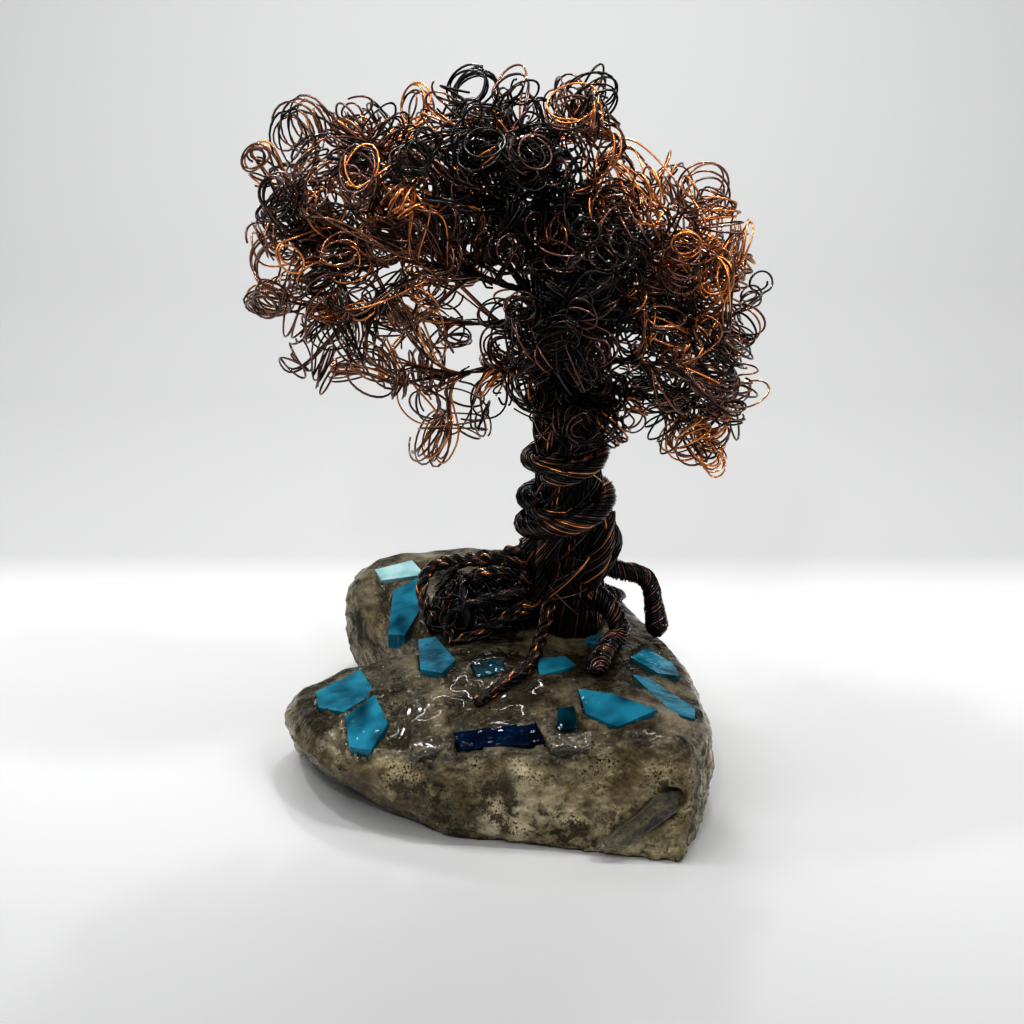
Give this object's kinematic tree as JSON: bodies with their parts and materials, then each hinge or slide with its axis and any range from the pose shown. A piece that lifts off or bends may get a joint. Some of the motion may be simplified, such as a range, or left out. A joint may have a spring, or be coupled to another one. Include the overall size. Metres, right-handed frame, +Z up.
{
  "type": "wire tree sculpture",
  "caption": "Tree twisted from copper and bronze wire, with a crown of curls, set in a heart-shaped stone with chips of blue glass.",
  "frame": {"origin": "centre of the stone's flat underside", "axes": "+Z up, +X to the viewer's right when seen from the front, +Y to the rear"},
  "size_m": [0.162, 0.1415, 0.225],
  "materials": {
    "stone": "glossy",
    "glass_blue": "glossy",
    "glass_navy": "glossy",
    "glass_teal": "glossy",
    "glass_aqua": "glossy",
    "glass_clear": "glossy",
    "wire_brown": "satin",
    "wire_bronze": "satin",
    "wire_copper": "satin"
  },
  "bodies": {
    "root": {"stone_heart": "stone", "chip_aqua_rear": "glass_aqua", "chip_blue_rear_left": "glass_blue", "chip_blue_notch": "glass_blue", "chip_blue_lobe": "glass_blue", "chip_blue_lobe_front": "glass_blue", "chip_navy_front": "glass_navy", "chip_blue_middle": "glass_blue", "chip_blue_by_trunk": "glass_blue", "chip_blue_right": "glass_blue", "chip_blue_right_edge": "glass_blue", "chip_blue_front_right": "glass_blue", "chip_teal_front": "glass_teal", "chip_teal_middle": "glass_teal", "chip_clear_front": "glass_clear", "chip_clear_front_left": "glass_clear", "chip_clear_wall": "glass_clear", "root_rear_left": "wire_brown", "root_left": "wire_brown", "root_left_low": "wire_brown", "root_front_left": "wire_brown", "root_front": "wire_brown", "root_front_right": "wire_brown", "root_right": "wire_brown", "root_rear": "wire_brown", "root_rear_right": "wire_brown", "root_tangle": "wire_brown", "trunk": "wire_brown", "wrap_upper": "wire_brown", "wrap_lower": "wire_brown", "bough_left_skirt": "wire_bronze", "bough_left_low": "wire_bronze", "bough_left_front": "wire_bronze", "bough_left_rear": "wire_copper", "bough_left_outer": "wire_bronze", "bough_left_high": "wire_bronze", "bough_top_left": "wire_bronze", "bough_top_rear": "wire_copper", "bough_top_right": "wire_bronze", "bough_right_high": "wire_bronze", "bough_right_middle": "wire_bronze", "bough_right_low": "wire_copper", "bough_right_front": "wire_bronze", "bough_right_rear": "wire_bronze", "bough_front": "wire_bronze", "bough_rear": "wire_copper"}
  },
  "joints": []
}
